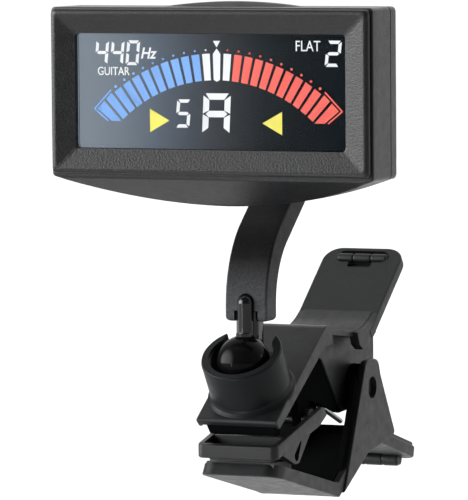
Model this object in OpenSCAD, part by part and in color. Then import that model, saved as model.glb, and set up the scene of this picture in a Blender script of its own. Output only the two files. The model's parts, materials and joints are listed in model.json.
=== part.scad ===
// Clip-on tuner: a wide display head on a curved arm, held by a sprung clip.
// Millimetres. X is to the right, Y is away from the player, Z is up.
// The origin is the middle of the jaws' grip, on the face of the lower pad.

/* [Head] */
// Width of the display rim
rim_w = 70; // [68:0.5:74]
// Height of the display rim
rim_h = 33.6; // [33:0.2:36]
// Clear width of the display window
window_w = 59.4; // [54:0.2:60]
// Clear height of the display window
window_h = 23.4; // [20:0.2:24]
// How far the window's face lies behind the rim
window_recess = 1.8; // [1.2:0.1:2]
// Depth of the front housing, from the rim to the seam
front_d = 11; // [11:0.5:14]
// Depth of the rear housing, from the seam to the back
rear_d = 4; // [4:0.5:6]
// Drop of the chin below the rim, at its middle
chin_drop = 6.9; // [3:0.1:9]
// Radius of the chin's curved lower edge
chin_r = 102; // [90:1:160]
// Wall of the rear housing
wall = 1.6; // [1.4:0.1:1.8]

/* [Buttons and battery] */
// Width of the power button on top
power_w = 29.5; // [16:0.5:31]
// Height of the power button's crown above the head
power_crown = 1.4; // [0.4:0.1:1.6]
// Travel of the power button
power_travel = 0.5; // [0.3:0.1:0.5]
// Radius of the three rear buttons
button_r = 2.72; // [2:0.02:2.8]
// Pitch of the three rear buttons
button_pitch = 7; // [7:0.1:7.4]
// Travel of a rear button
button_travel = 0.4; // [0.2:0.1:0.5]
// Radius of the coin cell
cell_r = 10; // [8:0.5:10]
// Thickness of the coin cell
cell_t = 3.2; // [2:0.1:3.2]

/* [Arm] */
// Width of the arm
arm_w = 9.1; // [7:0.1:10]
// Thickness of the arm
arm_t = 5.3; // [4:0.1:6]
// Radius of the arm's lower bend, at mid thickness
bend_r = 18.65; // [16:0.05:20]
// Angle that the lower bend turns back
bend_turn = 52; // [48:1:56]
// Radius of the hook behind the head, at mid thickness
hook_r = 10.35; // [9:0.05:12]
// Length of the straight stretch between bend and hook
reach = 12.8; // [11:0.1:14]

/* [Ball joints] */
// Radius of the lower ball
ball_r = 5.6; // [5:0.1:6]
// Radius of the ball behind the head
head_ball_r = 5; // [4:0.1:5.2]
// Outer radius of the cup on the clip
cup_r = 8.4; // [8:0.1:8.8]
// Radius of the hollow inside the cup
cup_hollow_r = 6.5; // [6.2:0.1:6.8]
// Height of the cup
cup_h = 10; // [9.4:0.1:10.2]
// Width of the gap at the back of the cup
cup_gap = 11.4; // [11.3:0.1:12]

/* [Clip] */
// Width of the front plate
clip_w = 18; // [17.6:0.1:20]
// Length of the sloping front plate
plate_l = 32.4; // [31.6:0.1:33]
// Thickness of the front plate
plate_t = 1.8; // [1.4:0.1:2]
// Slope of the front plate
plate_slope = 33.1; // [32.4:0.1:33.8]
// Width of each handle
handle_w = 18.4; // [16:0.1:19]
// Length of the upper handle
handle_l = 26.5; // [22:0.5:28]
// Slope of the upper handle
handle_slope = 37.5; // [35:0.5:40]
// Thickness of each handle
handle_t = 2.5; // [2:0.1:3]
// Radius of the hinge pin
pin_r = 2.3; // [1.5:0.1:2.5]
// Thickness of the spring's wire
wire_d = 1.2; // [0.8:0.1:1.4]

/* [Hidden] */
$fn = 64;

fit = 0.05;                             // radial clearance of a running fit
slack = 0.12;                           // gap round a part that slides in a slot

// places of the head's layers along Y, from front to back
rim_y = -20;
window_y = rim_y + window_recess;
lcd_y = window_y + 1;
glow_y = lcd_y + 2.4;
board_y = glow_y + 1.6;
board_back_y = board_y + 1;
seam_y = rim_y + front_d;
back_y = seam_y + rear_d;
door_y = back_y - wall;
head_z = 76.8;
body_w = rim_w + 1;
bay_x = body_w / 2 - 2.1;               // half width of the head's inner space
bay_top = rim_h / 2 - 1.6;
bay_bottom = -rim_h / 2 + 1.8;
chin_cz = chin_r - rim_h / 2 - chin_drop;
screw_at = [32, 13.3];                  // a corner screw, from the head's middle

// battery bay, left of the socket
cell_x = -21.5;
door_x0 = -34.2;
door_x1 = -9.8;
door_h = 22.4;
button_x0 = 15.5;
power_x = 2.2;
power_y0 = -12.7;
power_y1 = -9.7;

// ball centres and the arm's centre line
ball_y = -2.4;
ball_z = 20.5;
head_ball_y = -2.6;
arm_y = 1.5;
arm_foot_z = 28.8;
bend_z = 31.9;
bend_end = [arm_y + bend_r * (1 - cos(bend_turn)), bend_z + bend_r * sin(bend_turn)];
arm_dir = [sin(bend_turn), cos(bend_turn)];
hook_start = bend_end + reach * arm_dir;
hook_mid = hook_start + hook_r * [-arm_dir[1], arm_dir[0]];
head_ball_z = hook_mid[1] + hook_r;
socket_z = head_ball_z - head_z;
arm_tip_y = 7;
tongue_w = 5;
tongue_z = ball_z + 2.6;
tongue_y = [arm_y - arm_t / 2, arm_y + arm_t / 2 - 1.1];
rib_r = 1.72;
rib_top = 34.3;
neck_r = 1.7;
socket_r = 7.6;
socket_end = 1.5;

// the clip's side view: front plate, bridge and handle
tip = [-6.8, 8.75];
ridge = tip + plate_l * [cos(plate_slope), sin(plate_slope)];
bridge = [[34.9, 23.9], [45.3, 23.3]];
handle_root = bridge[1];
cup_base = [2, 14.2];
pin = [44.9, 10.9];
wall_x = [3.5, 5];                      // inner and outer faces of the side walls
boss_x = 7.95;
ear_x = [8, 9.5];
shoe_pin_at = [14.7, 7.1];
coil_r = 4.3;
heel = [27, -10.6];                    // lowest point of the lower jaw
floor_t = 1.5;
toe = [-6.3, -2.4];                     // underside of the floor's front end
floor_fall = (heel[1] + floor_t - toe[1]) / (heel[0] - toe[0]);
shoe_low = [[-6.4, 0.8], [16.8, 5.5]];    // the shoe's underside, front and rear
shoe_rise = (shoe_low[1][1] - shoe_low[0][1]) / (shoe_low[1][0] - shoe_low[0][0]);

// ---- shapes shared by several parts ----

// a side view drawn in Y and Z, given a width across X
module across(w) rotate([90, 0, 90]) linear_extrude(w, center = true) children();

// a side view drawn in Y and Z, standing on both sides between two distances
module both_sides(span) {
    for (s = [-1, 1])
        translate([s * (span[0] + span[1]) / 2, 0, 0]) across(span[1] - span[0]) children();
}

// a front view drawn in X and Z, reaching from one depth to another
module layer(y0, y1) translate([0, y1, 0]) rotate([90, 0, 0]) linear_extrude(y1 - y0) children();

// a rod along X or Y through a point
module rod_x(r, x0, x1, y, z) translate([x0, y, z]) rotate([0, 90, 0]) cylinder(h = x1 - x0, r = r);
module rod_y(r, y0, y1, x, z) translate([x, y1, z]) rotate([90, 0, 0]) cylinder(h = y1 - y0, r = r);

module rectangle(w, h, z = 0) translate([-w / 2, z - h / 2]) square([w, h]);

module rounded(w, h, r) {
    square([w - 2 * r, h], center = true);
    square([w, h - 2 * r], center = true);
    for (x = [-1, 1], z = [-1, 1])
        translate([x * (w / 2 - r), z * (h / 2 - r)]) circle(r);
}

// a bar of even thickness along a line of points, rounded at each
module strip(points, t) {
    for (i = [0 : len(points) - 2]) {
        step = points[i + 1] - points[i];
        translate(points[i]) rotate(atan2(step[1], step[0]))
            translate([0, -t / 2]) square([norm(step), t]);
    }
    for (p = points) translate(p) circle(t / 2);
}

// part of a ring between two angles less than 180 degrees apart
module ring_part(r, t, a0, a1) {
    far = 4 * r;
    mid = (a0 + a1) / 2;
    intersection() {
        difference() {
            circle(r + t / 2, $fn = 120);
            circle(r - t / 2, $fn = 120);
        }
        polygon([[0, 0], far * [cos(a0), sin(a0)], far * [cos(mid), sin(mid)], far * [cos(a1), sin(a1)]]);
    }
}

module at_head() translate([0, 0, head_z]) children();

// ---- head ----

module head_outline(inset = 0) {
    intersection() {
        translate([inset - body_w / 2, -rim_h])
            square([body_w - 2 * inset, rim_h * 1.5 - inset]);
        translate([0, chin_cz]) circle(chin_r - inset, $fn = 240);
    }
}

// side view of the front housing, with the chin falling away to the seam
module chin_profile() {
    polygon([
        [rim_y, -rim_h / 2], [seam_y, -rim_h / 2 - chin_drop],
        [seam_y, rim_h / 2], [rim_y, rim_h / 2]
    ]);
}

module corner_posts(y0, y1, r) {
    for (x = [-1, 1], z = [-1, 1]) rod_y(r, y0, y1, x * screw_at[0], z * screw_at[1]);
}

module front_housing() {
    post = [2.9, 3.6];
    color("#2f3133") at_head() difference() {
        union() {
            difference() {
                intersection() {
                    union() {
                        layer(rim_y, rim_y + 2) rounded(rim_w, rim_h, 1);
                        layer(rim_y + 1.2, seam_y) head_outline();
                    }
                    across(body_w + 1) chin_profile();
                }
                layer(window_y, seam_y + 1)
                    translate([-bay_x, bay_bottom]) square([2 * bay_x, bay_top - bay_bottom]);
            }
            // blocks that the housing screws bite into
            for (x = [-1, 1], z = [bay_bottom, bay_top - post[1]])
                layer(glow_y + 0.1, seam_y)
                    translate([x * (bay_x - post[0] / 2) - post[0] / 2, z]) square(post);
        }
        // window with a mitred bevel round it
        hull() {
            layer(rim_y - 0.1, rim_y) rectangle(rim_w - 2.4, rim_h - 2.4);
            layer(window_y - 0.1, window_y) rectangle(window_w, window_h, 0.1);
        }
        layer(rim_y, window_y + 0.1) rectangle(window_w, window_h, 0.1);
        corner_posts(glow_y + 1, seam_y + 1, 0.8);
        // slot for the power button
        translate([power_x - power_w / 2 - slack, power_y0 - slack, bay_top - 1])
            cube([power_w + 2 * slack, power_y1 - power_y0 + 2 * slack, 5]);
    }
}

// outline of the opening that the battery cover fills
module door_cut(gap) {
    translate([-body_w, -door_h / 2 - gap])
        square([body_w + door_x1 + gap, door_h + 2 * gap]);
}

module rear_housing() {
    tray_y = -10.6;
    color("#2b2d2f") at_head() difference() {
        union() {
            difference() {
                union() {
                    layer(seam_y, back_y - 1.2) head_outline();
                    layer(back_y - 1.3, back_y) head_outline(1.2);
                }
                layer(seam_y - 1, door_y)
                    translate([-bay_x, bay_bottom]) square([2 * bay_x, bay_top - bay_bottom]);
            }
            // tray that holds the coin cell, joined to the back wall above and below the cover
            layer(tray_y, door_y + 0.1) {
                translate([-33.2, -11.3]) square([23.8, 22.6]);
                translate([-30, -12.6]) square([20.6, 25.2]);
            }
            rod_y(socket_r, seam_y, socket_end, 0, socket_z);
        }
        layer(door_y - 0.1, back_y + 1) door_cut(slack);
        // grooves that the cover's tongues run in
        layer(door_y + 0.45, door_y + 1.15) door_cut(0.7);
        corner_posts(seam_y - 1, back_y, 0.8);
        corner_posts(door_y + 0.3, back_y + 1, 1.5);
        for (i = [0 : 2])
            rod_y(button_r + 0.08, door_y - 1, back_y + 1, button_x0 + i * button_pitch, 0);
        rod_y(cell_r + 0.15, tray_y + 0.7, door_y, cell_x, 0);
        rod_y(6, tray_y - 1, door_y, cell_x, 0);
        // slot for the plus contact beside the cell
        layer(tray_y - 1, door_y - 0.6) translate([cell_x + cell_r - 0.4, -4.2]) square([1.1, 8.4]);
        // ball socket, filled from inside and flared where the neck leaves
        rod_y(head_ball_r + 0.1, seam_y - 1, head_ball_y, 0, socket_z);
        translate([0, head_ball_y, socket_z]) {
            sphere(head_ball_r + fit);
            rotate([-90, 0, 0]) cylinder(h = 5, r1 = 1.96, r2 = 4.85);
        }
        for (s = [-1, 1]) rod_y(0.7, seam_y - 1, seam_y + 4, s * 6.35, socket_z);
    }
}

module display_window() {
    color("#8fa3b0", 0.35) at_head() layer(window_y, lcd_y) rectangle(63, 26.8);
}

module lcd_panel() {
    color("#10161c") at_head() layer(lcd_y, glow_y) rectangle(62.8, 28, -0.6);
}

module backlight() {
    color("#e8f0f4") at_head() layer(glow_y, board_y) rectangle(60, 25.6, 0.4);
}

module connector_strip() {
    color("#d08aa0") at_head() layer(glow_y, board_y) rectangle(52, 1.4, -13.8);
}

module circuit_board() {
    notch = 4.4;
    color("#1f6b3a") at_head() layer(board_y, board_back_y) difference() {
        translate([-33.2, -14.8]) square([66.4, 28]);
        for (x = [-1, 1], z = [-1, 1])
            translate([x * (33.3 - notch / 2), z * 13.2]) square([notch, 4.8], center = true);
    }
}

module processor_chip() {
    color("#17181a") at_head() layer(board_back_y, board_back_y + 1.2)
        translate([14, -13]) square(8);
}

module tact_switches() {
    face = back_y - 4;
    plunger_y = door_y - 0.9 - button_travel;
    plunger_z = bay_top - 1.1 - power_travel;
    color("#c9cbcc") at_head() {
        for (i = [0 : 2]) {
            x = button_x0 + i * button_pitch;
            layer(board_back_y, face) translate([x - 3, -3]) square(6);
            rod_y(1.6, face, plunger_y, x, 0);
        }
        // the power switch stands on the board's upper edge and points up
        layer(board_back_y, board_back_y + 2.4)
            translate([power_x - 3, 10.4]) square([6, 2.8]);
        layer(board_back_y + 0.4, board_back_y + 2)
            translate([power_x - 1.2, 13]) square([2.4, plunger_z - 13]);
    }
}

module piezo_disc() {
    color("#c9a45a") at_head() {
        rod_y(5, door_y - 0.3, door_y, 24.2, 9.4);
        rod_y(3.6, door_y - 0.6, door_y - 0.3, 24.2, 9.4);
    }
}

module coin_cell() {
    color("#c8cacc") at_head() {
        rod_y(cell_r, door_y - cell_t + 0.7, door_y - 0.05, cell_x, 0);
        rod_y(cell_r - 1.1, door_y - cell_t, door_y - cell_t + 0.7, cell_x, 0);
    }
}

module contact_minus() {
    top_y = door_y - cell_t;
    color("#d9c27a") at_head() translate([cell_x, 0, 0]) {
        translate([-5, board_back_y, -2]) cube([10, 0.3, 4]);
        // sprung leaf that rises from the board to the cell
        leaf = [[-4.8, board_back_y + 0.3], [-4, board_back_y + 0.3], [2, top_y], [1.2, top_y]];
        translate([0, 0, -1.5]) linear_extrude(3) polygon(leaf);
    }
}

module contact_plus() {
    side_x = cell_x + cell_r;
    color("#d9c27a") at_head() {
        translate([side_x, board_back_y, -4]) cube([0.4, door_y - board_back_y - 1, 8]);
        translate([side_x, board_back_y, -4]) cube([2.4, 0.3, 8]);
    }
}

module ball_retainer() {
    color("#3a3d40") at_head() difference() {
        union() {
            rod_y(socket_r - 0.2, seam_y - 1.2, seam_y, 0, socket_z);
            rod_y(head_ball_r - 0.1, seam_y - 0.1, seam_y + 2, 0, socket_z);
        }
        translate([0, head_ball_y, socket_z]) sphere(head_ball_r + fit);
        for (s = [-1, 1]) rod_y(0.7, seam_y - 2, seam_y, s * 6.35, socket_z);
    }
}

module retainer_screws() {
    color("#a9acae") at_head() for (s = [-1, 1]) {
        rod_y(0.7, seam_y - 1.3, seam_y + 3.8, s * 6.35, socket_z);
        rod_y(1.2, seam_y - 2, seam_y - 1.2, s * 6.35, socket_z);
    }
}

module housing_screws() {
    color("#8d9092") at_head() {
        corner_posts(glow_y + 1.5, door_y + 0.35, 0.8);
        difference() {
            corner_posts(door_y + 0.3, back_y - 0.5, 1.45);
            // cross slots
            for (x = [-1, 1], z = [-1, 1], turn = [0, 90])
                translate([x * screw_at[0], back_y - 0.5, z * screw_at[1]]) rotate([0, turn, 0])
                    cube([1.8, 0.9, 0.35], center = true);
        }
    }
}

module battery_cover() {
    color("#2b2d2f") at_head() {
        layer(door_y + 0.05, back_y)
            translate([door_x0, -door_h / 2]) square([door_x1 - door_x0, door_h]);
        layer(door_y + 0.5, door_y + 1.1)
            translate([door_x0, -door_h / 2 - 0.55]) square([door_x1 - door_x0 + 0.5, door_h + 1.1]);
        // ridges for a thumb
        for (i = [0 : 4])
            translate([door_x0 + 2.5 + 1.5 * i, back_y - 0.1, -5]) cube([0.7, 0.4, 10]);
    }
}

module power_button() {
    crown_r = (pow(power_w / 2, 2) + pow(power_crown, 2)) / (2 * power_crown);
    flange_top = bay_top - 0.1;
    color("#3b3d40") at_head() {
        intersection() {
            translate([power_x - power_w / 2, power_y0, flange_top - 0.5])
                cube([power_w, power_y1 - power_y0, 5]);
            rod_y(crown_r, power_y0 - 1, power_y1 + 1, power_x, rim_h / 2 + power_crown - crown_r, $fn = 240);
        }
        translate([power_x - power_w / 2 - 0.9, power_y0 - 0.35, flange_top - 0.9])
            cube([power_w + 1.8, power_y1 - power_y0 + 0.7, 0.9]);
    }
}

module rear_button(i) {
    x = button_x0 + i * button_pitch;
    color("#4a4d50") at_head() {
        rod_y(button_r, door_y - 0.2, back_y + 0.6, x, 0);
        rod_y(button_r + 0.6, door_y - 0.8, door_y - 0.1, x, 0);
    }
}

module mode_button() rear_button(0);
module pitch_button() rear_button(1);
module flat_button() rear_button(2);

// ---- arm and its two balls ----

module upper_ball() {
    color("#161718") difference() {
        translate([0, head_ball_y, head_ball_z]) sphere(head_ball_r);
        rod_y(1.5 + fit, head_ball_y - 3, head_ball_y + 9, 0, head_ball_z);
    }
}

module upper_stem() {
    color("#161718") {
        difference() {
            rod_y(neck_r, head_ball_y + 3, arm_tip_y + 4, 0, head_ball_z);
            translate([0, head_ball_y, head_ball_z]) sphere(head_ball_r + 0.06);
        }
        rod_y(1.5, head_ball_y - 2.8, head_ball_y + 6, 0, head_ball_z);
    }
}

module arm_profile() {
    translate([arm_y - arm_t / 2, arm_foot_z]) square([arm_t, bend_z - arm_foot_z]);
    translate([arm_y + bend_r, bend_z]) ring_part(bend_r, arm_t, 180, 180 - bend_turn);
    strip_start = bend_end - 0.01 * arm_dir;
    translate(strip_start) rotate(90 - bend_turn) translate([0, -arm_t / 2]) square([reach + 0.02, arm_t]);
    translate(hook_mid) {
        ring_part(hook_r, arm_t, -bend_turn, 20);
        ring_part(hook_r, arm_t, 19.9, 90);
    }
    translate([arm_tip_y, head_ball_z - arm_t / 2]) square([hook_mid[0] - arm_tip_y + 0.01, arm_t]);
}

// the tongue and half-round rib that lock into the foot of the arm
module stem_shape() {
    translate([0, (tongue_y[0] + tongue_y[1]) / 2, 0])
        translate([-tongue_w / 2, -(tongue_y[1] - tongue_y[0]) / 2, tongue_z])
            cube([tongue_w, tongue_y[1] - tongue_y[0], rib_top - 3.4 - tongue_z]);
    translate([0, tongue_y[0] + 0.05, ball_z + 1]) {
        cylinder(h = rib_top - rib_r - ball_z - 1, r = rib_r);
        translate([0, 0, rib_top - rib_r - ball_z - 1]) sphere(rib_r);
    }
}

module arm() {
    color("#303234") difference() {
        across(arm_w) arm_profile();
        stem_shape();
        rod_y(neck_r, arm_tip_y - 1, arm_tip_y + 4, 0, head_ball_z);
    }
}

module lower_stem() {
    color("#161718") {
        difference() {
            stem_shape();
            translate([0, ball_y, ball_z]) sphere(ball_r + 0.06);
        }
        translate([0, ball_y, ball_z - 3]) cylinder(h = 9, r = 1.6);
    }
}

module lower_ball() {
    color("#161718") translate([0, ball_y, ball_z]) difference() {
        sphere(ball_r);
        translate([0, 0, -3.2]) cylinder(h = 12, r = 1.6 + fit);
    }
}

// ---- clip, upper half ----

// moves a shape drawn flat onto the front plate, its Z along the plate's normal
module on_plate(at) translate([0, at[0], at[1]]) rotate([plate_slope, 0, 0]) children();

// handle with round corners, a rim on its inner face and a ribbed grip; it points along +Y
module handle(length, mirrored) {
    corner = 4;
    bar_r = 1.15;
    flip = mirrored ? -1 : 1;
    difference() {
        union() {
            translate([-handle_w / 2, 0, -handle_t / 2]) cube([handle_w, length - corner, handle_t]);
            translate([corner - handle_w / 2, 0, -handle_t / 2])
                cube([handle_w - 2 * corner, length, handle_t]);
            for (s = [-1, 1]) translate([s * (handle_w / 2 - corner), length - corner, -handle_t / 2])
                cylinder(h = handle_t, r = corner);
            // grip bar in three lengths
            for (s = [-1, 0, 1]) rod_x(bar_r, s * 4 - 1.75, s * 4 + 1.75, length - 3.2, flip * (handle_t / 2));
        }
        // hollow inner face
        translate([1.6 - handle_w / 2, 1.5, flip > 0 ? -handle_t : handle_t - 1.7])
            cube([handle_w - 3.2, length - 4.5, 1.7]);
        // pocket beside the bar
        translate([-2.6, length - 6, flip > 0 ? 0.2 : -0.2 - handle_t]) cube([5.2, 1.4, handle_t]);
    }
}

module upper_jaw() {
    mid_t = plate_t / 2;
    side = [
        [17.9, 22.1], ridge - [0.6, 1.2], bridge[0] - [0, 1], bridge[1] - [0.5, 1],
        [57, 30.9], [57, 15.5], [50.3, 6.2], [38.3, 6.2], [27.6, 18.2]
    ];
    color("#303335") difference() {
        union() {
            // front plate
            on_plate(tip) translate([-clip_w / 2, 0, -plate_t]) cube([clip_w, plate_l, plate_t]);
            // bridge over the hinge
            across(2 * boss_x) strip([ridge - [0.3, mid_t + 0.3], bridge[0] - [0, mid_t], bridge[1] - [0, mid_t]],
                plate_t);
            translate([0, handle_root[0], handle_root[1] - handle_t / 2]) rotate([handle_slope, 0, 0])
                handle(handle_l, false);
            both_sides(wall_x) polygon(side);
            for (s = [-1, 1]) rod_x(5, s > 0 ? wall_x[0] : -boss_x, s > 0 ? boss_x : -wall_x[0], pin[0], pin[1]);
            // nose that fills the space under the tip
            both_sides([0, 7.5]) polygon([tip + [1, -0.6], [-2.8, 5.4], [-1.4, 5.4], [1.4, 11.4]]);
            // ribs that carry the grip shoe
            both_sides([4.4, 6.2]) {
                polygon([[9.4, 16.9], [21.3, 25], [shoe_pin_at[0] + 2.3, shoe_pin_at[1]],
                    [shoe_pin_at[0] - 2.3, shoe_pin_at[1]]]);
                translate(shoe_pin_at) circle(2.3);
            }
            // cup for the ball
            on_plate(cup_base) translate([0, 0, -1]) cylinder(h = cup_h + 1, r = cup_r);
        }
        on_plate(cup_base) {
            translate([0, 0, 0.3]) cylinder(h = cup_h + 1, r = cup_hollow_r);
            translate([-cup_gap / 2, 0, 4]) cube([cup_gap, cup_r + 2, cup_h]);
        }
        rod_x(pin_r, -10, 10, pin[0], pin[1]);
        rod_x(1 + fit, -10, 10, shoe_pin_at[0], shoe_pin_at[1]);
    }
}

// plastic ring in the cup that grips the ball
module ball_seat() {
    color("#232526") difference() {
        on_plate(cup_base) translate([0, 0, 0.3]) cylinder(h = 6, r = cup_hollow_r);
        on_plate(cup_base) translate([-cup_gap / 2, 0, 3]) cube([cup_gap, cup_r + 2, cup_h]);
        translate([0, ball_y, ball_z]) sphere(ball_r + fit);
    }
}

module hinge_pin() {
    color("#9a9da0") rod_x(pin_r, 1 - ear_x[1], ear_x[1] - 1, pin[0], pin[1]);
}

// coil of close rings round the hinge pin, with a leg to each handle
module torsion_spring() {
    turns = 5;
    pitch = wire_d * 0.95;
    first = -pitch * (turns - 1) / 2;
    color("#b9bcbe") translate([0, pin[0], pin[1]]) {
        for (i = [0 : turns - 1])
            translate([first + i * pitch, 0, 0]) rotate([0, 90, 0])
                rotate_extrude() translate([coil_r, 0]) circle(wire_d / 2, $fn = 24);
        // legs, each from the back of the coil
        translate([first, coil_r * 0.6, coil_r * 0.8]) rotate([-25, 0, 0]) cylinder(h = 12.6, r = wire_d / 2);
        translate([-first, 0, -coil_r]) rotate([-118, 0, 0]) cylinder(h = 8.5, r = wire_d / 2);
    }
}

// ---- clip, lower half ----

// height of the lower jaw's sloping floor at a distance along Y
function floor_z(y) = toe[1] + floor_t + (y - toe[0]) * floor_fall;

module lower_jaw() {
    crest = [50.2, -1.4];
    color("#2e3032") difference() {
        union() {
            intersection() {
                union() {
                    // floor, rising wall and crest
                    across(clip_w - 0.3) polygon([
                        toe, heel, [42.5, -2.4], crest,
                        crest + [0.6, 2.3], [42.1, 0.3], heel + [0, 2 * floor_t], toe + [0, floor_t]
                    ]);
                    // front lip
                    across(clip_w) polygon([[-6.5, -2.6], [-6.1, 0.15], [-5.1, 0.15], [-5.1, -2.6]]);
                    // side bands along the floor
                    both_sides([clip_w / 2 - 1.4, clip_w / 2]) polygon([
                        [-6.5, -2.6], heel + [0.1, -0.15], heel + [6.6, 3.8],
                        heel + [5.6, 5.5], [25.5, -7.3], [-6.1, 0.15]
                    ]);
                }
                // round front corners
                translate([0, 33.5, -20]) linear_extrude(30) rounded(clip_w, 80, 3);
            }
            // ears round the hinge pin
            both_sides(ear_x) {
                polygon([
                    heel + [2.2, 0.95], [30.6, -5.4], [40, 13.5], [49.9, 13.4], [58.3, -0.4], [50.5, -1.8], [42.7, -2.8]
                ]);
                translate([45, 11.5]) circle(5);
            }
            translate([0, 49.4, 0]) rotate([-15.5, 0, 0]) handle(handle_l - 2, true);
        }
        rod_x(pin_r + fit, -12, 12, pin[0], pin[1]);
    }
}

module lower_pad() {
    color("#1b1c1d") across(clip_w - 2.9)
        polygon([[-5, 0], [4.6, 0], [4.6, floor_z(4.6)], [-5, floor_z(-5)]]);
}

// ---- self-levelling shoe ----

// height of the shoe's underside at a distance along Y
function shoe_z(y) = shoe_low[0][1] + (y - shoe_low[0][0]) * shoe_rise;

module grip_shoe() {
    outer = [shoe_low[0], [-6.3, 3.7], [18.7, 9.5], [20.3, 7.2], shoe_low[1]];
    hollow = [[-5.1, 2.2], [-5.1, 6], [18.3, 11.7], [19.5, 7.5], [16.1, 6.8]];
    color("#323537") difference() {
        union() {
            difference() {
                across(clip_w) polygon(outer);
                across(clip_w - 2.6) polygon(hollow);
            }
            // wall inside the tray, just behind the jaw's nose
            across(clip_w - 2.6) polygon([[-0.5, 3], [-0.5, 5], [0.6, 5], [0.6, 3]]);
            // side lugs
            both_sides([7.7, clip_w / 2]) polygon([[-1.5, 1.2], [3.4, -1], [5.2, -0.9], [12, 4.6]]);
            // eyes for the pivot pin
            both_sides([6.3, 8]) translate(shoe_pin_at) circle(2.2);
        }
        rod_x(1.2, -10, 10, 4.4, 1.2);
        rod_x(1, -8.2, 8.2, shoe_pin_at[0], shoe_pin_at[1]);
        // slots that the upper jaw's ribs stand in
        both_sides([4.2, 6.3]) translate(shoe_pin_at) circle(2.6);
    }
}

module upper_pad() {
    color("#1b1c1d") across(clip_w - 4.4) polygon([[-4.5, 0.3], [-4.5, shoe_z(-4.5)], [4.4, shoe_z(4.4)], [4.4, 0.3]]);
}

module shoe_pin() {
    color("#9a9da0") rod_x(1, -8.1, 8.1, shoe_pin_at[0], shoe_pin_at[1]);
}

front_housing();
rear_housing();
display_window();
lcd_panel();
backlight();
connector_strip();
circuit_board();
processor_chip();
tact_switches();
piezo_disc();
coin_cell();
contact_minus();
contact_plus();
ball_retainer();
retainer_screws();
housing_screws();
battery_cover();
power_button();
mode_button();
pitch_button();
flat_button();
upper_ball();
arm();
lower_stem();
upper_stem();
lower_ball();
upper_jaw();
ball_seat();
hinge_pin();
torsion_spring();
lower_jaw();
lower_pad();
grip_shoe();
upper_pad();
shoe_pin();
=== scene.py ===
import json
from math import acos, copysign, cos, pi, radians, sin, sqrt, tan

import bmesh
import bpy
from mathutils import Matrix, Vector


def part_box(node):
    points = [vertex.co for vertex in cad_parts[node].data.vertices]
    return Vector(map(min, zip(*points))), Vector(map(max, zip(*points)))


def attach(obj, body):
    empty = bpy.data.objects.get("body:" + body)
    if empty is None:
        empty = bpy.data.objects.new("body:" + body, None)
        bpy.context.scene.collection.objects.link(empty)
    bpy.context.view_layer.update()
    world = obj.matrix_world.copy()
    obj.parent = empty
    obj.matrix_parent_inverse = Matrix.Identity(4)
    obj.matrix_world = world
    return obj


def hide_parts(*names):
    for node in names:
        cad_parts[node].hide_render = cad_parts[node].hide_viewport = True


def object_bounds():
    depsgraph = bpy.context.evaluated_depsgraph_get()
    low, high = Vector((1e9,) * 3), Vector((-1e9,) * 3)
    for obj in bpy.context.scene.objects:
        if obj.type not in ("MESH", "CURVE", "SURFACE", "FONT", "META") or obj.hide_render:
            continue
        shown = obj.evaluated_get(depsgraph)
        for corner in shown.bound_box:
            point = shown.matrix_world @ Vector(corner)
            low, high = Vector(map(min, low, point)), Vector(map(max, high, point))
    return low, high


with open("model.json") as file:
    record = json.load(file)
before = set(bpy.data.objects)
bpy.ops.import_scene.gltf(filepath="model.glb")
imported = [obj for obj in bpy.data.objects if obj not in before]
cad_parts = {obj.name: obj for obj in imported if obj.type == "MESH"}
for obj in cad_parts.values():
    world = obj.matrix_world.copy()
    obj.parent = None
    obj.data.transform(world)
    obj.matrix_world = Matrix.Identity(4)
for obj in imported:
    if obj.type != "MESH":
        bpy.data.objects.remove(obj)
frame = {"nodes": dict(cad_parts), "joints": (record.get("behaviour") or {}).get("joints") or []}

# Shapes are worked out in millimetres, in the frame's own axes, and scaled once when a mesh is made.
MM = 0.001
ACROSS, DEPTH, UP = (1, 0, 0), (0, 1, 0), (0, 0, 1)
cad_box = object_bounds()
scene = bpy.context.scene
joints = {j["name"]: j for j in frame["joints"]}


def joint_point(name):
    """A joint's place in millimetres."""
    return Vector(joints[name]["pos_m"]) / MM


def box_mm(node):
    """A node's lowest and highest corners in millimetres."""
    low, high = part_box(node)
    return low / MM, high / MM


def centre_mm(node):
    low, high = box_mm(node)
    return (low + high) / 2


# ---- outlines

def fillet(points, radius, steps=5):
    """A closed outline with its corners rounded. radius is one number, or a list with one for each corner."""
    out = []
    radii = radius if isinstance(radius, list) else [radius] * len(points)
    for i, (p, r) in enumerate(zip(points, radii)):
        p, a, b = Vector(p), Vector(points[i - 1]), Vector(points[(i + 1) % len(points)])
        u, v = (a - p).normalized(), (b - p).normalized()
        turn = acos(max(-1, min(1, u.dot(v))))
        nearly_straight = pi - turn < 0.02
        if r <= 0 or nearly_straight:
            out.append(p)
            continue
        reach = min(r / tan(turn / 2), 0.48 * (a - p).length, 0.48 * (b - p).length)
        r = reach * tan(turn / 2)
        centre = p + (u + v).normalized() * (r / sin(turn / 2))
        start, end = p + u * reach - centre, p + v * reach - centre
        angle = -start.angle_signed(end)
        for k in range(steps + 1):
            c, s = cos(angle * k / steps), sin(angle * k / steps)
            out.append(centre + Vector((start.x * c - start.y * s, start.x * s + start.y * c)))
    return out


def rectangle(x0, x1, y0, y1, r=0, steps=5):
    return fillet([(x0, y0), (x1, y0), (x1, y1), (x0, y1)], r, steps)


def arc(r, degrees, centre=(0, 0)):
    """Points on a circle at each of some angles."""
    angles = [radians(a) for a in degrees]
    return [Vector((centre[0] + r * cos(a), centre[1] + r * sin(a))) for a in angles]


def circle(r, centre=(0, 0), count=48):
    return arc(r, [360 * i / count for i in range(count)], centre)


def drum(r, low, high):
    """A lathe profile for a plain cylinder."""
    return [(0, low), (r, low), (r, high), (0, high)]


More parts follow.
